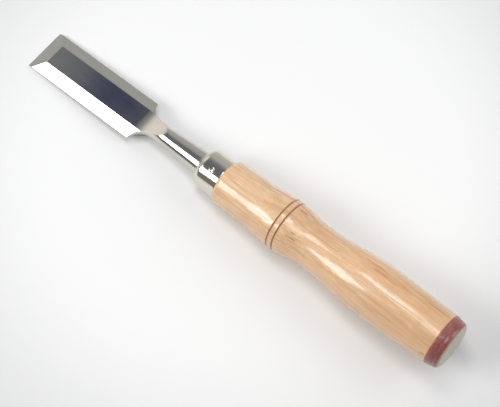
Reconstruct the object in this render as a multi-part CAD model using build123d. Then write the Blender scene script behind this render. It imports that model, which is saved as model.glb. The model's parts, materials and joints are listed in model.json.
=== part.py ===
"""Bench chisel with a turned wooden handle, a steel ferrule and a leather striking cap.

The tool is modelled along its own axis first: the cutting edge is at x = 0, the butt points to
+X, the middle of the handle is the X axis, and the bevelled side of the blade faces +Z. Then it is
laid down the way it rests on a bench, on its cutting edge and on the front shoulder of the handle.
"""
from build123d import *
from math import asin, atan2, cos, degrees, hypot, radians, sin, sqrt, tan
import os

# ---- Blade, millimetres ----
blade_width = 25.4            # a one-inch chisel
blade_length = 73.0           # cutting edge to the corners of the shoulders
blade_thickness = 4.6         # flat back to the flat on top
back_depth = 3.0              # flat back below the axis of the handle
land_height = 1.5             # upright strip left along each side
top_flat_width = 12.7         # flat between the two side bevels
cutting_bevel_angle = 27.0    # degrees
flare_radius = 10.5           # hollow curve from each shoulder into the neck
ramp_start = 73.0             # where the flat on top starts to climb to the neck
ramp_end = 91.0
heel_start = 84.0             # where the flat back leaves the bench side of the neck
heel_end = 95.0

# ---- Neck and tang ----
neck_front_radius = 5.15
neck_rear_radius = 6.85
collar_radius = 7.15          # small bead that closes the neck against the ferrule
collar_length = 1.1
collar_round = 0.4
tang_root_side = 7.0          # the square tang, where it leaves the neck
tang_tip_side = 4.0
tang_length = 62.0
tang_point_length = 6.0

# ---- Ferrule, a drawn steel cup ----
ferrule_start = 117.2
ferrule_length = 14.9
ferrule_radius = 11.3
ferrule_wall = 1.2
ferrule_front_round = 3.8
ferrule_tang_hole_radius = 5.2
dimple_from_front = 8.8       # punched dimple that locks the ferrule to the wood
dimple_turn = 17.0            # degrees round from the top
dimple_height = 0.7           # punch centre above the ferrule's surface
dimple_punch_radius = 1.6
dimple_boss_radius = 2.6      # the same dimple, seen from inside the ferrule

# ---- Handle ----
seat_gap = 0.2                # end of the wooden spigot to the inside of the cup
spigot_round = 2.9
front_round_length = 2.2      # rounded front shoulder of the wood
front_radius = 12.85
barrel_end = 151.0
barrel_radius = 13.0
crest_at = 171.7              # raised ring that carries the two burned grooves
crest_radius = 14.5
waist_at = 192.5
waist_radius = 12.35
swell_at = 232.0
swell_radius = 15.05
butt_at = 270.3
butt_radius = 14.0
groove_positions = (170.7, 174.1)
groove_width = 0.9
groove_depth = 0.45
tang_hole_spare = 3.0         # drilled past the point of the tang
stub_radius = 6.0             # wooden stub that centres the inner washer
stub_shortfall = 0.2          # the stub stops below the outer washer

# ---- Leather washers ----
washer_thickness = 3.7
washer_count = 2
cap_front_radius = 14.2
cap_front_round = 0.45
cap_taper_end = 4.4           # from the front of the cap to where its rounded corner starts
cap_taper_radius = 13.35
cap_face_radius = 10.4

# ---- Worked out from the sizes above ----
back_z = -back_depth
flat_z = blade_thickness - back_depth
land_z = land_height - back_depth
neck_start = blade_length + sqrt(
    flare_radius**2 - (flare_radius + neck_front_radius - blade_width / 2) ** 2
)
bevel_end = neck_start - sqrt(
    flare_radius**2 - (flare_radius + neck_front_radius - top_flat_width / 2) ** 2
)
cutting_bevel_length = blade_thickness / tan(radians(cutting_bevel_angle))
ferrule_end = ferrule_start + ferrule_length
front_end = ferrule_end + front_round_length
bore_radius = ferrule_radius - ferrule_wall
spigot_start = ferrule_start + ferrule_wall + seat_gap
cap_length = washer_count * washer_thickness
tool_length = butt_at + cap_length
clear = 20.0                  # larger than any radius of the tool


def joined_face(*edges):
    """A flat face from a closed run of edges."""
    return make_face(Wire(list(edges)))


def turned(*edges):
    """A solid of revolution about the X axis. The edges are (along, radius) outlines."""
    return revolve(Plane.XZ * joined_face(*edges), Axis.X)


def run(*points):
    """Straight edges through the points."""
    return [Line(a, b) for a, b in zip(points, points[1:])]


def easing(start, end):
    """Two equal arcs that meet in the middle, level at both ends."""
    middle = ((start[0] + end[0]) / 2, (start[1] + end[1]) / 2)
    return [
        TangentArc(start, middle, tangent=(1, 0)),
        TangentArc(end, middle, tangent=(-1, 0)),
    ]


def neck_radius(along):
    """Radius of the tapered round neck at a distance from the cutting edge."""
    share = (along - neck_start) / (ferrule_start - collar_length - neck_start)
    return neck_front_radius + share * (neck_rear_radius - neck_front_radius)


def neck_and_flare():
    """The round neck, opening out to the shoulders like the mouth of a trumpet."""
    flare_middle = neck_front_radius + flare_radius
    flare_edge = neck_start - flare_radius
    halfway = radians(45)
    flare_point = (neck_start - flare_radius * sin(halfway), flare_middle - flare_radius * cos(halfway))
    collar_start = ferrule_start - collar_length
    edges = run((-clear, 0), (-clear, clear), (flare_edge, clear), (flare_edge, flare_middle))
    edges.append(
        ThreePointArc((flare_edge, flare_middle), flare_point, (neck_start, neck_front_radius))
    )
    edges += run(
        (neck_start, neck_front_radius),
        (collar_start, neck_rear_radius),
        (collar_start + collar_round / 2, collar_radius - collar_round / 2),
        (collar_start + collar_round, collar_radius),
        (ferrule_start - collar_round / 2, collar_radius),
        (ferrule_start, collar_radius - collar_round / 2),
        (ferrule_start, 0),
        (-clear, 0),
    )
    return turned(*edges)


def side_outline():
    """The blade and neck seen from the side: flat back, cutting bevel, flat top and ramp."""
    ramp_top = (ramp_end, neck_radius(ramp_end))
    heel_bottom = (heel_end, -neck_radius(heel_end))
    edges = run((0, back_z), (heel_start, back_z))
    edges.append(TangentArc((heel_start, back_z), heel_bottom, tangent=(1, 0)))
    edges += run(heel_bottom, (heel_end, -clear), (ferrule_start, -clear), (ferrule_start, clear))
    edges += run((ferrule_start, clear), (ramp_end, clear), ramp_top)
    edges.append(TangentArc((ramp_start, flat_z), ramp_top, tangent=(1, 0)))
    edges += run((ramp_start, flat_z), (cutting_bevel_length, flat_z), (0, back_z))
    return extrude(Plane.XZ * joined_face(*edges), amount=clear, both=True)


def section_limits():
    """What the blade may fill across its width: side bevels, then the strip that becomes the neck."""
    half = blade_width / 2
    half_flat = top_flat_width / 2
    section = run(
        (-half, back_z),
        (half, back_z),
        (half, land_z),
        (half_flat, flat_z),
        (-half_flat, flat_z),
        (-half, land_z),
        (-half, back_z),
    )
    bevelled = extrude(Plane.YZ * joined_face(*section), amount=bevel_end)
    along_edge = (Align.MIN, Align.CENTER, Align.CENTER)
    strip = Pos(ramp_start, 0, 0) * Box(bevel_end - ramp_start, top_flat_width, 2 * clear, align=along_edge)
    rear = Pos(bevel_end, 0, 0) * Box(ferrule_start - bevel_end, 2 * clear, 2 * clear, align=along_edge)
    return bevelled + strip + rear


def square(side, along):
    """A square across the axis, for the tang."""
    return Plane.YZ.offset(along) * Rectangle(side, side)


def tang(spare=0.0):
    """The square tapered tang and its point. Spare length makes the hole that it is driven into."""
    taper_end = ferrule_start + tang_length - tang_point_length
    taper = loft([square(tang_root_side, ferrule_start), square(tang_tip_side, taper_end)])
    tip_side = tang_tip_side if spare else tang_tip_side / 4
    point = loft(
        [square(tang_tip_side, taper_end), square(tip_side, taper_end + tang_point_length + spare)]
    )
    return taper + point


def blade():
    """One steel forging: blade, shoulders, neck, collar and tang."""
    forging = side_outline() & section_limits() & neck_and_flare()
    return forging + tang()


def dimple(radius):
    """The ball of the punch that makes the ferrule's dimple."""
    reach = ferrule_radius + dimple_height
    return Rot(dimple_turn, 0, 0) * Pos(ferrule_start + dimple_from_front, 0, reach) * Sphere(radius)


def cup_outline(start, radius, corner, hole):
    """One wall of the cup: front face, rounded corner and straight side."""
    corner_start = (start, radius - corner)
    corner_end = (start + corner, radius)
    return [
        Line((start, hole), corner_start),
        TangentArc(corner_start, corner_end, tangent=(0, 1)),
        Line(corner_end, (ferrule_end, radius)),
    ]


def ferrule():
    """The cup that keeps the end of the handle from splitting."""
    hole = ferrule_tang_hole_radius
    inside_start = ferrule_start + ferrule_wall
    outer = cup_outline(ferrule_start, ferrule_radius, ferrule_front_round, hole)
    inner = cup_outline(inside_start, bore_radius, ferrule_front_round - ferrule_wall, hole)
    rim = Line((ferrule_end, ferrule_radius), (ferrule_end, bore_radius))
    hole_wall = Line((inside_start, hole), (ferrule_start, hole))
    cup = turned(*outer, rim, *inner, hole_wall)
    bore = turned(
        *run(
            (inside_start, 0),
            (inside_start, bore_radius + ferrule_wall / 2),
            (ferrule_end, bore_radius + ferrule_wall / 2),
            (ferrule_end, 0),
            (inside_start, 0),
        )
    )
    boss = dimple(dimple_boss_radius) & bore
    return cup + boss - dimple(dimple_punch_radius)


def groove(along):
    """A V groove, burned in with a wire while the handle turned on the lathe."""
    floor = crest_radius - groove_depth
    half = groove_width / 2
    return turned(
        *run(
            (along - half, crest_radius + groove_depth),
            (along - half, crest_radius),
            (along, floor),
            (along + half, crest_radius),
            (along + half, crest_radius + groove_depth),
            (along - half, crest_radius + groove_depth),
        )
    )


def handle():
    """The turned wooden handle, with the spigot for the ferrule and the stub for the leather."""
    spigot_corner = (spigot_start + spigot_round, bore_radius)
    stub_end = butt_at + washer_thickness - stub_shortfall
    edges = [
        Line((spigot_start, 0), (spigot_start, bore_radius - spigot_round)),
        TangentArc((spigot_start, bore_radius - spigot_round), spigot_corner, tangent=(0, 1)),
    ]
    edges += run(spigot_corner, (ferrule_end, bore_radius), (ferrule_end, ferrule_radius))
    edges.append(TangentArc((front_end, front_radius), (ferrule_end, ferrule_radius), tangent=(-1, 0)))
    edges += run((front_end, front_radius), (barrel_end, barrel_radius))
    edges += easing((barrel_end, barrel_radius), (crest_at, crest_radius))
    edges += easing((crest_at, crest_radius), (waist_at, waist_radius))
    edges += easing((waist_at, waist_radius), (swell_at, swell_radius))
    edges.append(TangentArc((swell_at, swell_radius), (butt_at, butt_radius), tangent=(1, 0)))
    edges += run(
        (butt_at, butt_radius),
        (butt_at, stub_radius),
        (stub_end, stub_radius),
        (stub_end, 0),
        (spigot_start, 0),
    )
    wood = turned(*edges)
    for along in groove_positions:
        wood -= groove(along)
    return wood - tang(spare=tang_hole_spare) - dimple(dimple_boss_radius)


def leather_cap():
    """The whole striking cap, before it is split into its washers."""
    front = butt_at
    taper_end = (front + cap_taper_end, cap_taper_radius)
    face_edge = (tool_length, cap_face_radius)
    edges = run((front, 0), (front, cap_front_radius - cap_front_round))
    edges.append(
        TangentArc(
            (front, cap_front_radius - cap_front_round),
            (front + cap_front_round, cap_front_radius),
            tangent=(0, 1),
        )
    )
    edges.append(Line((front + cap_front_round, cap_front_radius), taper_end))
    edges.append(TangentArc(face_edge, taper_end, tangent=(0, 1)))
    edges += run(face_edge, (tool_length, 0), (front, 0))
    return turned(*edges)


def stub_hole():
    """The hole through the inner washer that the handle's stub fills."""
    rear = butt_at + washer_thickness
    return turned(
        *run((butt_at, 0), (butt_at, stub_radius), (rear, stub_radius), (rear, 0), (butt_at, 0))
    )


def washer(index):
    """One layer of the striking cap, counted from the wood."""
    start = butt_at + index * washer_thickness
    layer = Box(washer_thickness, 2 * clear, 2 * clear, align=(Align.MIN, Align.CENTER, Align.CENTER))
    return leather_cap() & Pos(start, 0, 0) * layer


def resting_tilt():
    """Degrees that the handle rises, with the cutting edge and the wood's front shoulder on the bench."""
    step = front_radius - ferrule_radius
    arc_radius = (front_round_length**2 + step**2) / (2 * step)
    centre_height = arc_radius - front_radius + back_depth
    reach = hypot(front_end, centre_height)
    return degrees(asin(arc_radius / reach) - atan2(centre_height, front_end))


def lay_down(pieces):
    """Turn the pieces to their resting pose, with the origin under the middle of the tool."""
    turned_over = {name: Rot(0, -resting_tilt(), 0) * piece for name, piece in pieces.items()}
    box = Compound(children=[Part(piece.wrapped) for piece in turned_over.values()]).bounding_box()
    middle = box.center()
    return {name: Pos(-middle.X, -middle.Y, -box.min.Z) * piece for name, piece in turned_over.items()}


pieces = {
    "blade": blade(),
    "ferrule": ferrule(),
    "handle": handle(),
    "leather_washer_inner": washer(0) - stub_hole(),
    "leather_washer_outer": washer(1),
}

os.makedirs("parts", exist_ok=True)
for name, piece in lay_down(pieces).items():
    export_step(piece, f"parts/{name}.step")
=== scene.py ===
"""Looks of the bench chisel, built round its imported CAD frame.

The outlines below are in millimetres along the tool's own axis: the cutting edge is at 0, the butt
is at the far end, and a turn of 0 degrees round the axis faces the bevelled side of the blade. The
mount on the ferrule gives the place and the slope of that axis in the row frame.
"""
import json
from math import atan2, cos, exp, hypot, pi, radians, sin, sqrt

import bmesh
import bpy
from mathutils import Matrix, Vector


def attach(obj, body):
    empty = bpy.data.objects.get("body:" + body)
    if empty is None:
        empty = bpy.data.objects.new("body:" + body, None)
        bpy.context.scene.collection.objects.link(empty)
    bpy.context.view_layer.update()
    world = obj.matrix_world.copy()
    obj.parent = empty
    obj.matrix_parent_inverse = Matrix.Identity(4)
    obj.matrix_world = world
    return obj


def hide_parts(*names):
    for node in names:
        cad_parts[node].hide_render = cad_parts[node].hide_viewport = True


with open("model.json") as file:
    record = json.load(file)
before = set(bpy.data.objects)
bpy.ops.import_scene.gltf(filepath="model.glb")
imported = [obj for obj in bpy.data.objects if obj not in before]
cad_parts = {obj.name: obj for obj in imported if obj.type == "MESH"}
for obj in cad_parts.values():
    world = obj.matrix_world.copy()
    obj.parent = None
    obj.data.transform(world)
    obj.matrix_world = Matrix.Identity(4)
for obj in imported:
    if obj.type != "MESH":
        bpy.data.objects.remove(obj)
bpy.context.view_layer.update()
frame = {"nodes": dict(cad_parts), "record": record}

MM = 0.001
TINY = 1e-6
SHARP_ANGLE = radians(38)

# ---- Sizes shared with the CAD part, millimetres ----
ferrule_start = 117.2
ferrule_length = 14.9
ferrule_radius = 11.3
ferrule_wall = 1.2
ferrule_front_round = 3.8
ferrule_tang_hole = 5.2
seat_length = 11.1
dimple_at = 126.0
dimple_turn = -17.0
cutting_bevel_length = 9.0
front_round_length = 2.2
front_radius = 12.85
barrel_end = 151.0
barrel_radius = 13.0
crest_at = 171.7
crest_radius = 14.5
waist_at = 192.5
waist_radius = 12.35
swell_at = 232.0
swell_radius = 15.045  # the CAD's 15.05 less a hair, so that the wood stays inside the CAD's box
butt_at = 270.3
butt_radius = 14.0
groove_positions = (170.7, 174.1)
groove_depth = 0.45
stub_radius = 6.0
stub_end = 273.8
tang_bore_length = 65
tang_bore_radius = 5.1
washer_thickness = 3.7
cap_front_radius = 14.2
cap_front_round = 0.45
cap_taper_end = 4.4
cap_taper_radius = 13.35
cap_face_radius = 10.4
cap_end_inset = 0.003  # keeps the struck face just inside the CAD's box

# ---- Sizes of the finer detail, millimetres ----
tang_bore_tip = 2
spigot_end_gap = 0.2
spigot_side_gap = 0.05
spigot_round = 2.9
wood_face_gap = 0.02
stub_round = 0.3
groove_half_width = 0.46
groove_hollow = 1.2
groove_lip_height = 0.05
groove_lip_offset = 0.62
groove_lip_spread = 0.16
groove_margin = 1.1
close_ring_gap = 0.11
skin_radius = 12  # the outside of the wood is all further out than this, and its inside is not
dimple_depth = 0.86
dimple_radius = 1.42
dimple_fall = 1.25
ferrule_rim_round = 0.22
tang_hole_round = 0.15
layer_ease = 0.14
layer_lip = 0.05
layer_lip_drop = 0.06
layer_edge_drop = 0.2
leather_unevenness = 0.03

ferrule_end = ferrule_start + ferrule_length
front_end = ferrule_end + front_round_length
bore_radius = ferrule_radius - ferrule_wall
cap_end = butt_at + 2 * washer_thickness - cap_end_inset

# ---- Where the tool lies ----
seat = next(m for m in frame["record"]["mounts"] if m["name"] == "ferrule_seat")
axis = -Vector(seat["axis"])
seat_middle = ferrule_start + ferrule_front_round + seat_length / 2
tool_origin = Vector(seat["pos_m"]) - axis * seat_middle * MM
tilt = atan2(axis.z, axis.x)
to_row = Matrix.Translation(tool_origin) @ Matrix.Rotation(-tilt, 4, "Y") @ Matrix.Scale(MM, 4)


# ---------------------------------------------------------------- outlines
def arc(start, end, heading, steps):
    """Points of the arc that leaves start along heading and reaches end, without start."""
    chord = (end[0] - start[0], end[1] - start[1])
    length = hypot(*chord)
    bend = atan2(chord[1], chord[0]) - atan2(heading[1], heading[0])
    bend = (bend + pi) % (2 * pi) - pi
    points = []
    for step in range(1, steps + 1):
        part = bend * step / steps
        reach = length * sin(part) / sin(bend) if abs(bend) > TINY else length * step / steps
        course = atan2(heading[1], heading[0]) + part
        points.append((start[0] + reach * cos(course), start[1] + reach * sin(course)))
    return points


def easing(start, end, steps):
    """Two equal arcs that meet in the middle, level at both ends."""
    middle = ((start[0] + end[0]) / 2, (start[1] + end[1]) / 2)
    first = arc(start, middle, (1, 0), steps)
    second = arc(end, middle, (-1, 0), steps)
    return first + second[-2::-1] + [end]


def straight(start, end, steps):
    """Evenly spaced points of a straight run, without its start."""
    return [
        (start[0] + (end[0] - start[0]) * k / steps, start[1] + (end[1] - start[1]) * k / steps)
        for k in range(1, steps + 1)
    ]


# ---------------------------------------------------------------- meshes
def lathe(name, outline, segments, ring, shape=None):
    """A turned piece: an (along, radius) outline swept round the tool's axis.

    A ring's outline is a loop clear of the axis. Any other outline starts and ends on the axis.
    shape(along, radius, turn) may move a point in or out, for what isn't perfectly round.
    """
    mesh = bmesh.new()
    rows = []
    for along, radius in outline:
        count = 1 if radius < TINY else segments
        row = []
        for k in range(count):
            turn = 2 * pi * k / segments
            a, r = shape(along, radius, turn) if shape else (along, radius)
            row.append(mesh.verts.new(to_row @ Vector((a, r * sin(turn), r * cos(turn)))))
        rows.append(row)
    pairs = list(zip(rows, rows[1:]))
    if ring:
        pairs.append((rows[-1], rows[0]))
    for one, other in pairs:
        for k in range(segments):
            following = (k + 1) % segments
            corners = [one[k % len(one)], one[following % len(one)]]
            corners += [other[following % len(other)], other[k % len(other)]]
            mesh.faces.new(list(dict.fromkeys(corners)))
    bmesh.ops.recalc_face_normals(mesh, faces=mesh.faces[:])
    data = bpy.data.meshes.new(name)
    mesh.to_mesh(data)
    mesh.free()
    data.polygons.foreach_set("use_smooth", [True] * len(data.polygons))
    data.set_sharp_from_angle(angle=SHARP_ANGLE)
    piece = bpy.data.objects.new(name, data)
    bpy.context.scene.collection.objects.link(piece)
    return piece


def groove_drop(along):
    """How deep the two burned grooves cut at a place along the handle, with softened lips."""
    drop = 0.0
    for middle in groove_positions:
        off = abs(along - middle)
        drop += groove_depth * max(0.0, 1 - off / groove_half_width) ** groove_hollow
        drop -= groove_lip_height * exp(-((off - groove_lip_offset) / groove_lip_spread) ** 2)
    return drop


def handle_outline():
    """The turned wood, from the end of the tang's bore round its outside to the butt."""
    bore_end = ferrule_start + tang_bore_length
    spigot_start = ferrule_start + ferrule_wall + spigot_end_gap
    spigot_radius = bore_radius - spigot_side_gap
    spigot_corner = (spigot_start + spigot_round, spigot_radius)
    wood_face = ferrule_end + wood_face_gap
    points = [(bore_end, 0), (bore_end - tang_bore_tip, tang_bore_radius)]
    points += [(spigot_start, tang_bore_radius), (spigot_start, spigot_radius - spigot_round)]
    points += arc(points[-1], spigot_corner, (0, 1), 8)
    points += straight(spigot_corner, (wood_face, spigot_radius), 8)
    points.append((wood_face, ferrule_radius))
    shoulder = arc((front_end, front_radius), (wood_face, ferrule_radius), (-1, 0), 10)
    points += shoulder[-2::-1] + [(front_end, front_radius)]
    points += straight((front_end, front_radius), (barrel_end, barrel_radius), 16)
    points += easing((barrel_end, barrel_radius), (crest_at, crest_radius), 12)
    points += easing((crest_at, crest_radius), (waist_at, waist_radius), 12)
    points += easing((waist_at, waist_radius), (swell_at, swell_radius), 18)
    points += arc((swell_at, swell_radius), (butt_at, butt_radius), (1, 0), 36)
    return points


def cut_grooves(points):
    """Puts close rings round the grooves, with the surface sunk there."""
    first = min(groove_positions) - groove_margin
    last = max(groove_positions) + groove_margin
    before = [p for p in points if p[0] < first or p[1] < skin_radius]
    after = [p for p in points if p[0] > last and p[1] >= skin_radius]
    close = []
    steps = int((last - first) / close_ring_gap)
    for k in range(steps + 1):
        along = first + (last - first) * k / steps
        close.append((along, crest_height(along) - groove_drop(along)))
    return before + close + after


def crest_height(along):
    """Radius of the ring's rounded crest, near its top."""
    foot = (barrel_end, barrel_radius) if along < crest_at else (waist_at, waist_radius)
    span = (foot[0] - crest_at) / 2
    rise = (foot[1] - crest_radius) / 2
    bend = (span**2 + rise**2) / (2 * abs(rise))
    return crest_radius - (bend - sqrt(bend**2 - (along - crest_at) ** 2))


def make_handle():
    """The wooden handle with its grooves, its open bore and its rear stub."""
    points = cut_grooves(handle_outline())
    points += [(butt_at, stub_radius)]
    stub_corner = (stub_end - stub_round, stub_radius)
    points += straight(points[-1], stub_corner, 6)
    points += arc(stub_corner, (stub_end, stub_radius - stub_round), (1, 0), 3)
    points.append((stub_end, 0))
    return lathe("handle_turned_wood", points, 224, ring=False)


def dimple_drop(along, radius, turn):
    """Sinks the punched dimple into the ferrule's wall."""
    sideways = (turn - radians(dimple_turn) + pi) % (2 * pi) - pi
    off = hypot(along - dimple_at, sideways * ferrule_radius)
    bowl = dimple_depth * max(0.0, 1 - (off / dimple_radius) ** 2) ** dimple_fall
    return along, radius - bowl


def make_ferrule():
    """The drawn cup, with a turned-in rear rim and the punched dimple."""
    corner = ferrule_front_round
    rim = ferrule_rim_round
    start, end, outer = ferrule_start, ferrule_end, ferrule_radius
    inner_start = start + ferrule_wall
    points = [(start, ferrule_tang_hole + tang_hole_round)]
    points += straight(points[0], (start, outer - corner), 4)
    points += arc(points[-1], (start + corner, outer), (0, 1), 14)
    points += straight(points[-1], (end - rim, outer), 58)
    points += arc(points[-1], (end, outer - rim), (1, 0), 4)
    points += [(end, bore_radius + rim / 2), (end - rim / 2, bore_radius)]
    points += straight(points[-1], (inner_start + corner - ferrule_wall, bore_radius), 40)
    inner_corner = arc((inner_start, outer - corner), points[-1], (0, 1), 8)
    points += inner_corner[-2::-1] + [(inner_start, outer - corner)]
    points += [(inner_start, ferrule_tang_hole), (start + tang_hole_round, ferrule_tang_hole)]
    return lathe("ferrule_cup", points, 320, ring=True, shape=dimple_drop)


def cap_radius(along):
    """Radius of the leather cap at a distance from its front, as far as its rear corner."""
    if along <= cap_front_round:
        reach = sqrt(max(0.0, cap_front_round**2 - (cap_front_round - along) ** 2))
        return cap_front_radius - cap_front_round + reach
    share = (along - cap_front_round) / (cap_taper_end - cap_front_round)
    return cap_front_radius + share * (cap_taper_radius - cap_front_radius)


def leather_wander(along, radius, turn):
    """Hand-sanded leather is a little uneven, more at its outside than at its hole."""
    share = max(0.0, (radius - stub_radius) / (cap_front_radius - stub_radius))
    wave = sin(3 * turn + 0.7) + 0.6 * sin(5 * turn + along) + 0.4 * sin(11 * turn - 2 * along)
    return along, radius - share * leather_unevenness * (1.4 + wave)


def make_washer(index):
    """One layer of the striking cap, with eased corners where it meets its neighbour."""
    start = butt_at + index * washer_thickness
    end = start + washer_thickness
    joint_radius = cap_radius(washer_thickness)
    inner = index == 0
    points = [(start, stub_radius if inner else 0)]
    if inner:
        points += straight(points[0], (start, cap_front_radius - cap_front_round), 6)
        for k in range(1, 7):
            along = cap_front_round * k / 6
            points.append((butt_at + along, cap_radius(along)))
        reach = washer_thickness - layer_ease
        for k in range(1, 17):
            along = cap_front_round + (reach - cap_front_round) * k / 16
            points.append((butt_at + along, cap_radius(along)))
        points.append((end - layer_lip, joint_radius - layer_lip_drop))
        points.append((end, joint_radius - layer_edge_drop))
        points += straight(points[-1], (end, stub_radius), 6)
    else:
        points += straight(points[0], (start, joint_radius - layer_edge_drop), 6)
        points.append((start + layer_lip, joint_radius - layer_lip_drop))
        for along in (washer_thickness + layer_ease, cap_taper_end - 0.2, cap_taper_end):
            points.append((butt_at + along, cap_radius(along)))
        taper_corner = (butt_at + cap_taper_end, cap_taper_radius)
        corner = arc((cap_end, cap_face_radius), taper_corner, (0, 1), 18)
        points += corner[-2::-1] + [(cap_end, cap_face_radius)]
        points += straight(points[-1], (cap_end, 0), 14)
    name = "leather_washer_front" if inner else "leather_washer_rear"
    return lathe(name, points, 200, ring=inner, shape=leather_wander)


# ---------------------------------------------------------------- materials
class Recipe:
    """The nodes of one material, worked out in the tool's own millimetres."""

    def __init__(self, name):
        self.material = bpy.data.materials.new(name)
        self.material.use_nodes = True
        self.tree = self.material.node_tree
        self.tree.nodes.clear()
        place = self.add("TexCoord")
        lay = self.add("Mapping")
        back = to_row.inverted()
        self.put(lay.inputs["Vector"], place.outputs["Object"])
        lay.inputs["Location"].default_value = back.translation
        lay.inputs["Rotation"].default_value = back.to_euler()
        lay.inputs["Scale"].default_value = [1 / MM] * 3
        self.position = lay.outputs["Vector"]
        parts = self.add("SeparateXYZ")
        self.put(parts.inputs["Vector"], self.position)
        self.x, self.y, self.z = parts.outputs

    def add(self, kind, **settings):
        """A new shader node with some of its own settings."""
        node = self.tree.nodes.new("ShaderNode" + kind)
        for key, value in settings.items():
            setattr(node, key, value)
        return node

    def put(self, socket, value):
        """Links an output to the socket, or sets the socket to a plain value."""
        if isinstance(value, bpy.types.NodeSocket):
            self.tree.links.new(value, socket)
        elif hasattr(value, "__len__") and len(value) == 3 and socket.type == "RGBA":
            socket.default_value = (*value, 1)
        else:
            socket.default_value = value

    def math(self, operation, *values):
        """One step of arithmetic."""
        node = self.add("Math", operation=operation)
        for socket, value in zip(node.inputs, values):
            self.put(socket, value)
        return node.outputs[0]

    def total(self, *values):
        """The values added up."""
        result = values[0]
        for value in values[1:]:
            result = self.math("ADD", result, value)
        return result

    def product(self, *values):
        """The values multiplied together."""
        result = values[0]
        for value in values[1:]:
            result = self.math("MULTIPLY", result, value)
        return result

    def spread(self, value, low, high, out_low=0.0, out_high=1.0, smooth=True):
        """Maps low..high to out_low..out_high and holds the ends."""
        node = self.add("MapRange", interpolation_type="SMOOTHSTEP" if smooth else "LINEAR")
        for socket, item in zip(node.inputs, (value, low, high, out_low, out_high)):
            self.put(socket, item)
        return node.outputs[0]

    def noise(self, factors, detail=2.0, rough=0.5, twist=0.0):
        """Soft noise from 0 to 1. The factors are its frequency along and across the tool."""
        stretched = self.add("VectorMath", operation="MULTIPLY")
        self.put(stretched.inputs[0], self.position)
        stretched.inputs[1].default_value = factors
        node = self.add("TexNoise")
        self.put(node.inputs["Vector"], stretched.outputs[0])
        node.inputs["Scale"].default_value = 1.0
        node.inputs["Detail"].default_value = detail
        node.inputs["Roughness"].default_value = rough
        node.inputs["Distortion"].default_value = twist
        return node.outputs[0]

    def ramp(self, value, *stops):
        """A colour ramp through (place, colour) stops."""
        node = self.add("ValToRGB")
        band = node.color_ramp
        while len(band.elements) < len(stops):
            band.elements.new(0.5)
        for element, (place, colour) in zip(band.elements, stops):
            element.position = place
            element.color = (*colour, 1)
        self.put(node.inputs[0], value)
        return node.outputs[0]

    def blend(self, share, one, other):
        """One colour where share is 0, the other where it is 1. Sockets 6 and 7 take colours."""
        node = self.add("Mix", data_type="RGBA")
        self.put(node.inputs[0], share)
        self.put(node.inputs[6], one)
        self.put(node.inputs[7], other)
        return node.outputs[2]

    def bump(self, height, depth_mm, under=None):
        """A normal bent by a height, on top of another normal if one is given."""
        node = self.add("Bump")
        node.inputs["Strength"].default_value = 1.0
        node.inputs["Distance"].default_value = depth_mm * MM
        self.put(node.inputs["Height"], height)
        if under is not None:
            self.put(node.inputs["Normal"], under)
        return node.outputs[0]

    def eased_edges(self, radius_mm):
        """Normals that round the piece's corners slightly, so that they catch the light."""
        node = self.add("Bevel", samples=6)
        node.inputs["Radius"].default_value = radius_mm * MM
        return node.outputs[0]

    def facing(self):
        """The surface normal in the tool's own axes."""
        turn_back = self.add("Mapping", vector_type="NORMAL")
        self.put(turn_back.inputs["Vector"], self.add("NewGeometry").outputs["Normal"])
        turn_back.inputs["Rotation"].default_value = to_row.inverted().to_euler()
        parts = self.add("SeparateXYZ")
        self.put(parts.inputs["Vector"], turn_back.outputs["Vector"])
        return parts.outputs

    def turn_angle(self):
        """Degrees round the axis, 0 at the top."""
        return self.math("MULTIPLY", self.math("ARCTAN2", self.y, self.z), 180 / pi)

    def finish(self, colour, roughness, normal, **constants):
        """Ends the material in one surface shader."""
        shader = self.add("BsdfPrincipled")
        self.put(shader.inputs["Base Color"], colour)
        self.put(shader.inputs["Roughness"], roughness)
        self.put(shader.inputs["Normal"], normal)
        for key, value in constants.items():
            self.put(shader.inputs[key.replace("_", " ")], value)
        end = self.add("OutputMaterial")
        self.put(end.inputs["Surface"], shader.outputs[0])
        return self.material


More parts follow.
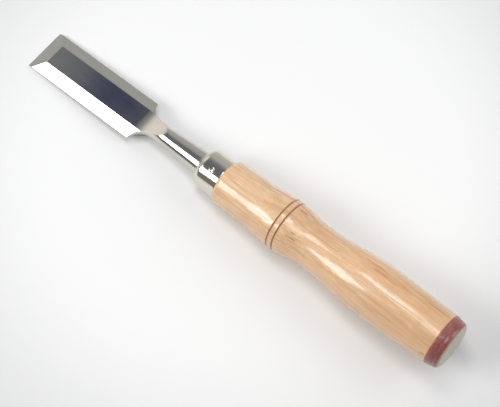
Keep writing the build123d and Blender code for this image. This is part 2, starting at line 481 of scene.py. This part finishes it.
def ground_steel():
    """Blade steel: ground facets, a polished neck, and fine scratches that follow the tool."""
    m = Recipe("ground_blade_steel")
    dull_steel = (0.42, 0.40, 0.36)
    clean_steel = (0.665, 0.64, 0.59)
    ground_tint = (0.44, 0.45, 0.43)
    bevel_tint = (0.34, 0.345, 0.33)
    speck_tint = (0.36, 0.35, 0.31)
    nx, ny, _ = m.facing()
    front = m.math("LESS_THAN", m.x, cutting_bevel_length + 0.5)
    bevel = m.product(m.spread(nx, -0.25, -0.4), front)
    on_blade = m.spread(m.x, 74.0, 80.0, 1.0, 0.0)
    side = m.product(m.spread(m.math("ABSOLUTE", ny), 0.3, 0.4), on_blade)
    ground = m.math("MAXIMUM", bevel, side)
    lines = m.noise((0.06, 7.0, 7.0), detail=3.0, rough=0.6)
    fine = m.noise((0.3, 22.0, 22.0), detail=2.0)
    rings = m.noise((9.0, 0.15, 0.15), detail=2.0)
    cloud = m.noise((0.05, 0.09, 0.09), detail=2.0)
    tone = m.total(m.product(lines, 0.45), m.product(cloud, 0.75), 0.25)
    specks = m.spread(m.noise((1.3, 2.2, 2.2), detail=3.0, rough=0.7), 0.5, 0.75)
    colour = m.blend(tone, dull_steel, clean_steel)
    colour = m.blend(m.product(ground, 0.42), colour, ground_tint)
    colour = m.blend(m.product(bevel, 0.42), colour, bevel_tint)
    colour = m.blend(m.product(specks, 0.16), colour, speck_tint)
    base_rough = m.spread(ground, 0.0, 1.0, 0.055, 0.17)
    rough = m.total(base_rough, m.product(lines, 0.05), m.product(cloud, 0.04))
    neck = m.spread(m.x, 76.0, 86.0)
    scratches = m.blend(neck, lines, rings)
    depth = m.bump(scratches, 0.0014, m.eased_edges(0.12))
    depth = m.bump(m.product(fine, ground), 0.0022, depth)
    return m.finish(colour, rough, depth, Metallic=1.0)


def nickel_plate():
    """Bright plate with faint polishing lines round the ferrule and a few handling marks."""
    m = Recipe("bright_nickel_plate")
    rings = m.noise((7.0, 0.12, 0.12), detail=3.0)
    cloud = m.noise((0.22, 0.22, 0.22), detail=3.0)
    marks = m.spread(m.noise((1.1, 2.6, 2.6), detail=4.0, rough=0.7), 0.62, 0.74)
    warm_plate = (0.74, 0.69, 0.60)
    cool_plate = (0.71, 0.68, 0.62)
    handled_tint = (0.55, 0.51, 0.45)
    colour = m.blend(cloud, warm_plate, cool_plate)
    colour = m.blend(m.product(marks, 0.25), colour, handled_tint)
    rough = m.total(0.05, m.product(cloud, 0.05), m.product(marks, 0.10))
    normal = m.bump(rings, 0.0006)
    return m.finish(colour, rough, normal, Metallic=1.0)


MM_PER_DEGREE = 0.25  # round the outside of the handle

# Each streak: place along the tool, degrees round it, half length, half width, strength.
wood_streaks = (
    (160.0, -31, 10.0, 0.13, 0.8),
    (181.6, -23, 1.8, 0.22, 0.85),
    (181.4, -35, 4.2, 0.22, 0.95),
    (209.0, -37, 4.5, 0.22, 0.6),
    (248.0, -11, 23.0, 0.13, 0.85),
    (224.0, 28, 9.0, 0.3, 0.5),
    (263.0, 30, 8.0, 0.22, 0.75),
    (268.5, -69, 1.6, 0.35, 0.9),
    (206.0, 96, 14.0, 0.25, 0.6),
    (152.0, 133, 9.0, 0.3, 0.55),
    (244.0, -118, 16.0, 0.3, 0.6),
    (219.0, 168, 22.0, 0.2, 0.6),
)

# Reddish patches in the wood, given the same way.
wood_blushes = (
    (229.5, 18, 6.5, 0.75, 0.6),
    (179.0, 31, 3.4, 1.0, 0.6),
    (171.0, 43, 21.0, 0.7, 0.55),
    (236.0, 21, 18.0, 1.6, 0.3),
)


def streak(m, turn, wobble, along, angle, half_length, half_width, strength):
    """One thin brown line in the wood, tapering to nothing at both ends."""
    past = m.math("ABSOLUTE", m.math("SUBTRACT", m.x, along))
    ends = m.spread(past, half_length, half_length * 0.4)
    round_mm = m.math("MULTIPLY", m.math("SUBTRACT", turn, angle), MM_PER_DEGREE)
    off = m.math("SUBTRACT", round_mm, wobble)
    line = m.spread(m.math("ABSOLUTE", off), half_width * 1.6, half_width * 0.3)
    return m.product(ends, line, strength)


def lacquered_maple():
    """Pale maple under gloss lacquer: growth rings, fibres, flecks, streaks and burned grooves."""
    m = Recipe("lacquered_maple")
    front_wood = (0.80, 0.555, 0.335)
    rear_wood = (0.70, 0.44, 0.235)
    band_tint = (0.62, 0.345, 0.175)
    curl_tint = (0.86, 0.63, 0.40)
    ring_tint = (0.52, 0.28, 0.13)
    dark_grain = (0.53, 0.285, 0.13)
    pale_grain = (0.90, 0.68, 0.45)
    fibre_tint = (0.56, 0.32, 0.16)
    fleck_tint = (0.40, 0.20, 0.085)
    pink_tint = (0.78, 0.44, 0.25)
    blush_tint = (0.47, 0.165, 0.055)
    streak_tint = (0.25, 0.092, 0.032)
    burn_tint = (0.31, 0.145, 0.05)
    end_tint = (0.46, 0.24, 0.13)

    wander = m.noise((0.010, 0.05, 0.05), detail=3.0)
    small_wander = m.noise((0.05, 0.3, 0.3), detail=2.0)
    # The tree's centre is to one side of the handle and below it, and further below towards the butt.
    sideways = m.total(m.y, 30.0)
    deep = m.total(m.z, 52.0, m.product(m.x, 0.045))
    far = m.math("SQRT", m.total(m.product(sideways, sideways), m.product(deep, deep)))
    far = m.total(far, m.product(wander, 7.0), m.product(small_wander, 0.8))
    ring = m.math("FRACT", m.math("DIVIDE", far, 2.6))
    black, grey, white = (0, 0, 0), (0.15,) * 3, (1, 1, 1)
    ring_line = m.ramp(ring, (0.0, black), (0.62, grey), (0.9, white), (1.0, black))
    grain = m.noise((0.05, 0.85, 0.85), detail=4.0, rough=0.6, twist=0.3)
    fibres = m.noise((0.13, 3.2, 3.2), detail=4.0, rough=0.62, twist=0.15)
    flecks = m.spread(m.noise((0.42, 4.6, 4.6), detail=2.0, rough=0.6), 0.60, 0.72)
    band = m.noise((0.018, 0.13, 0.13), detail=2.0)
    curl = m.noise((0.16, 0.05, 0.05), detail=2.0)

    pink = m.spread(m.noise((0.03, 0.22, 0.22), detail=2.0), 0.46, 0.64)
    colour = m.blend(m.spread(m.x, 150.0, 250.0, smooth=False), front_wood, rear_wood)
    for share, strength, tint in (
        (m.spread(band, 0.42, 0.68), 0.55, band_tint),
        (m.spread(curl, 0.35, 0.65), 0.25, curl_tint),
        (ring_line, 0.20, ring_tint),
        (m.spread(grain, 0.46, 0.62), 0.54, dark_grain),
        (m.spread(grain, 0.46, 0.34), 0.40, pale_grain),
        (m.spread(fibres, 0.34, 0.66), 0.50, fibre_tint),
        (flecks, 0.42, fleck_tint),
        (pink, 0.32, pink_tint),
    ):
        colour = m.blend(m.product(share, strength), colour, tint)

    turn = m.turn_angle()
    slow = m.noise((0.09, 0.02, 0.02), detail=3.0)
    wobble = m.math("MULTIPLY", m.math("SUBTRACT", slow, 0.5), 0.5)
    blush = 0.0
    for item in wood_blushes:
        blush = m.math("MAXIMUM", blush, streak(m, turn, wobble, *item))
    colour = m.blend(blush, colour, blush_tint)
    marks = 0.0
    for item in wood_streaks:
        marks = m.math("MAXIMUM", marks, streak(m, turn, wobble, *item))
    marks = m.product(marks, m.spread(fibres, 0.15, 0.5, 0.65, 1.0))
    colour = m.blend(marks, colour, streak_tint)

    burn = 0.0
    for middle in groove_positions:
        off = m.math("ABSOLUTE", m.math("SUBTRACT", m.x, middle))
        burn = m.math("MAXIMUM", burn, m.spread(off, 0.78, 0.24))
    uneven = m.spread(m.noise((0.5, 0.35, 0.35), detail=3.0), 0.2, 0.6, 0.55, 0.9)
    burn = m.product(burn, uneven)
    colour = m.blend(burn, colour, burn_tint)

    end_wood = m.spread(m.x, ferrule_end + 1.6, ferrule_end + 0.1)
    colour = m.blend(m.product(end_wood, 0.35), colour, end_tint)
    rough = m.total(0.34, m.product(fibres, 0.18), m.product(burn, 0.25))
    height = m.total(m.product(fibres, 0.6), m.product(flecks, -0.5), m.product(marks, -0.5))
    normal = m.bump(m.total(height, grain), 0.05)
    peel = m.bump(m.total(m.noise((0.30, 0.6, 0.6), detail=3.0), m.product(grain, 0.8)), 0.045)
    return m.finish(
        colour, rough, normal, Coat_Weight=1.0, Coat_Roughness=0.135, Coat_IOR=1.5, Coat_Normal=peel
    )


def sole_leather(name, warm):
    """Dyed and sealed leather: pressed layers on its edge; its struck face painted pale as a
    reflection of the pale surroundings, with a painted highlight round its rim.
    """
    m = Recipe(name)
    red_dye = (0.30, 0.080, 0.060)
    plum_dye = (0.225, 0.052, 0.055)
    warm_dye = (0.33, 0.12, 0.070)
    layer_tint = (0.17, 0.038, 0.036)
    pale_grain = (0.44, 0.16, 0.12)
    dark_grain = (0.14, 0.03, 0.032)
    pore_tint = (0.09, 0.022, 0.020)
    # Painted reflection: the struck face's pale colours stand in for the pale surroundings it
    # reflects at a grazing angle.
    pale_face = (0.52, 0.475, 0.36)
    dull_face = (0.42, 0.38, 0.285)
    face_pore = (0.36, 0.29, 0.20)
    # Painted highlight: a pale band on the rounded rim of the struck face, where it catches the
    # light.
    painted_rim_highlight = (0.66, 0.46, 0.33)

    nx, _, _ = m.facing()
    layers = m.noise((3.4, 0.10, 0.10), detail=3.0, rough=0.6)
    grain = m.noise((0.9, 0.9, 0.9), detail=5.0, rough=0.68)
    cloud = m.noise((0.22, 0.22, 0.22), detail=2.0)
    pores = m.spread(m.noise((3.0, 3.0, 3.0), detail=1.0), 0.60, 0.70)
    edge = m.blend(m.spread(cloud, 0.35, 0.65), red_dye, plum_dye)
    if warm:
        edge = m.blend(m.spread(m.x, butt_at + 2.6, butt_at), edge, warm_dye)
    for share, strength, tint in (
        (m.spread(layers, 0.35, 0.7), 0.42, layer_tint),
        (m.spread(grain, 0.5, 0.7), 0.4, pale_grain),
        (m.spread(grain, 0.48, 0.32), 0.4, dark_grain),
        (pores, 0.5, pore_tint),
    ):
        edge = m.blend(m.product(share, strength), edge, tint)
    face = m.blend(grain, pale_face, dull_face)
    face = m.blend(m.product(pores, 0.35), face, face_pore)
    at_face = m.spread(m.x, butt_at + cap_taper_end, butt_at + cap_taper_end + 0.8)
    # The struck face takes the painted reflection colour, and a rougher finish.
    struck_face_mask = m.product(m.spread(nx, 0.72, 0.93), at_face)
    # Painted highlight round the struck face's rounded rim.
    rim = m.product(m.spread(nx, 0.60, 0.74), m.spread(nx, 0.95, 0.84), at_face)
    colour = m.blend(struck_face_mask, edge, face)
    colour = m.blend(m.product(rim, 0.5), colour, painted_rim_highlight)
    rough = m.total(0.30, m.product(grain, 0.20), m.product(struck_face_mask, 0.18))
    height = m.total(m.product(layers, 0.5), m.product(grain, 0.6), m.product(pores, -0.6))
    normal = m.bump(height, 0.05)
    peel = m.bump(grain, 0.02)
    return m.finish(
        colour, rough, normal, Coat_Weight=0.6, Coat_Roughness=0.12, Coat_IOR=1.5, Coat_Normal=peel
    )


def matt_paper():
    """The pale table: smooth paper with hardly any sheen, and painted shade that greys it away from a
    painted pool of light round the tool.
    """
    m = Recipe("pale_table")
    warm_white = (0.845, 0.845, 0.84)
    cool_white = (0.83, 0.83, 0.828)
    # Painted shade: the grey that the paper turns to away from the tool.
    painted_shade_grey = (0.655, 0.655, 0.655)
    tooth = m.noise((0.9, 0.9, 0.9), detail=3.0)
    cloud = m.noise((0.006, 0.006, 0.006), detail=2.0)
    # Painted shade: the paper greys with distance from a painted pool of light near the tool.
    across = m.add("VectorMath", operation="DISTANCE")
    m.put(across.inputs[0], m.add("NewGeometry").outputs["Position"])
    across.inputs[1].default_value = painted_light_centre
    painted_falloff = m.spread(across.outputs["Value"], painted_light_radius, painted_shade_radius)
    colour = m.blend(painted_falloff, m.blend(cloud, warm_white, cool_white), painted_shade_grey)
    return m.finish(colour, m.spread(tooth, 0, 1, 0.7, 0.8), m.bump(tooth, 0.01))


# ---------------------------------------------------------------- studio
# The camera's turn and rise, in metres its distance and aim, and then the directions that are right
# and away in its picture, laid flat on the table.
camera_turn = radians(39.83)
camera_rise = radians(67.87)
camera_distance = 0.7343
camera_aim = Vector((0.00778, 0.00134, 0.00299))
picture_right = Vector((cos(camera_turn), sin(camera_turn), 0))
picture_away = Vector((-sin(camera_turn), cos(camera_turn), 0))
# Centre and radii of the painted pool of light on the table, and of the painted shade beyond it.
painted_light_centre = Vector((camera_aim.x, camera_aim.y, 0)) + picture_away * 0.03
painted_light_radius = 0.10
painted_shade_radius = 0.21
ferrule_middle = to_row @ Vector((dimple_at, 0, 0))
handle_middle = to_row @ Vector((215, 0, 0))


def direction(from_zenith, bearing):
    """A unit vector: degrees from overhead, and degrees round from the picture's right."""
    flat = sin(radians(from_zenith))
    right = picture_right * flat * cos(radians(bearing))
    away = picture_away * flat * sin(radians(bearing))
    return right + away + Vector((0, 0, cos(radians(from_zenith))))


def make_camera():
    """The camera, high over the tool's near side."""
    back = Vector((0, 0, sin(camera_rise))) - picture_away * cos(camera_rise)
    data = bpy.data.cameras.new("camera")
    data.sensor_width = 36.0
    data.lens = 100.8
    data.clip_start, data.clip_end = 0.01, 20.0
    camera = bpy.data.objects.new("camera", data)
    bpy.context.scene.collection.objects.link(camera)
    camera.location = camera_aim + back * camera_distance
    camera.rotation_mode = "QUATERNION"
    camera.rotation_quaternion = (-back).to_track_quat("-Z", "Y")
    bpy.context.scene.camera = camera


def soft_box(name, from_zenith, bearing, distance, size, radiance, colour, aim):
    """A square studio light over the tool, as bright as radiance all over its face."""
    data = bpy.data.lights.new(name, "AREA")
    data.shape = "SQUARE"
    data.size = size
    data.energy = radiance * pi * size**2
    data.color = colour
    light = bpy.data.objects.new(name, data)
    bpy.context.scene.collection.objects.link(light)
    towards = direction(from_zenith, bearing)
    light.location = aim + towards * distance
    light.rotation_mode = "QUATERNION"
    light.rotation_quaternion = towards.to_track_quat("Z", "Y")


def studio_surroundings():
    """Soft room light: a dim ceiling, a paler backdrop, a bright card and a dark blue gap."""
    world = bpy.data.worlds.new("studio")
    bpy.context.scene.world = world
    world.use_nodes = True
    tree = world.node_tree
    tree.nodes.clear()
    new, link = tree.nodes.new, tree.links.new
    place = new("ShaderNodeTexCoord")

    def towards(vector):
        """How nearly a ray points along the vector, from -1 to 1."""
        node = new("ShaderNodeVectorMath")
        node.operation = "DOT_PRODUCT"
        link(place.outputs["Generated"], node.inputs[0])
        node.inputs[1].default_value = vector
        return node.outputs["Value"]

    def spread(value, low, high):
        """Maps low..high smoothly to 0..1."""
        node = new("ShaderNodeMapRange")
        node.interpolation_type = "SMOOTHSTEP"
        link(value, node.inputs[0])
        node.inputs[1].default_value, node.inputs[2].default_value = low, high
        return node.outputs[0]

    def mix(share, one, other):
        """One colour where share is 0, the other where it is 1. Sockets 6 and 7 take colours."""
        node = new("ShaderNodeMix")
        node.data_type = "RGBA"
        link(share, node.inputs[0])
        for socket, value in ((node.inputs[6], one), (node.inputs[7], other)):
            if isinstance(value, bpy.types.NodeSocket):
                link(value, socket)
            else:
                socket.default_value = (*value, 1)
        return node.outputs[2]

    height = towards((0, 0, 1))
    ceiling = (0.135, 0.152, 0.182)
    upper_wall = (0.52, 0.52, 0.51)
    backdrop = (0.66, 0.65, 0.63)
    near_wall = (0.22, 0.215, 0.20)
    sky = mix(spread(height, 0.95, 0.55), ceiling, upper_wall)
    sky = mix(spread(height, 0.35, 0.0), sky, backdrop)
    near = mix(spread(height, 0.75, 0.3), ceiling, near_wall)
    sky = mix(spread(towards(picture_away), -0.35, 0.25), near, sky)
    bright_card = (60, 121, 6, 22, (1.05, 1.02, 0.96))
    blue_gap = (33.8, 110.0, 0.3, 2.6, (0.015, 0.025, 0.105))
    for from_zenith, bearing, full_within, gone_beyond, colour in (bright_card, blue_gap):
        nearness = towards(direction(from_zenith, bearing))
        lobe = spread(nearness, cos(radians(gone_beyond)), cos(radians(full_within)))
        sky = mix(lobe, sky, colour)
    glow = new("ShaderNodeBackground")
    link(sky, glow.inputs["Color"])
    end = new("ShaderNodeOutputWorld")
    link(glow.outputs[0], end.inputs["Surface"])


def make_table():
    """The plain pale floor that the tool lies on, metres."""
    reach = 3.0
    data = bpy.data.meshes.new("table")
    corners = [(-reach, -reach, 0), (reach, -reach, 0), (reach, reach, 0), (-reach, reach, 0)]
    data.from_pydata(corners, [], [(0, 1, 2, 3)])
    table = bpy.data.objects.new("table", data)
    bpy.context.scene.collection.objects.link(table)
    data.materials.append(matt_paper())


# ---------------------------------------------------------------- assembly
def dress(piece, material, node):
    """Gives a new piece its material and its place on the frame."""
    piece.data.materials.append(material)
    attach(piece, "root")
    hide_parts(node)


blade = frame["nodes"]["blade"]
blade.data.materials.clear()
blade.data.materials.append(ground_steel())
dress(make_ferrule(), nickel_plate(), "ferrule")
dress(make_handle(), lacquered_maple(), "handle")
front_leather = sole_leather("front_leather", warm=True)
rear_leather = sole_leather("rear_leather", warm=False)
dress(make_washer(0), front_leather, "leather_washer_inner")
dress(make_washer(1), rear_leather, "leather_washer_outer")

make_table()
studio_surroundings()

# Each light: degrees from overhead, bearing, distance, size, brightness, colour, what it points at.
for light in (
    ("key_light", 52.5, -170, 1.6, 0.72, 8.8, (1.0, 0.995, 0.98), ferrule_middle),
    ("overhead_light", 17, 122, 0.80, 0.22, 7.6, (1.0, 0.995, 0.99), handle_middle),
    ("right_fill", 55, 0, 1.0, 0.60, 2.7, (1.0, 1.0, 1.0), ferrule_middle),
    ("top_fill", 8, -90, 1.2, 0.50, 4.0, (1.0, 1.0, 1.0), ferrule_middle),
):
    soft_box(*light)
make_camera()
bpy.context.scene.view_settings.view_transform = "Standard"
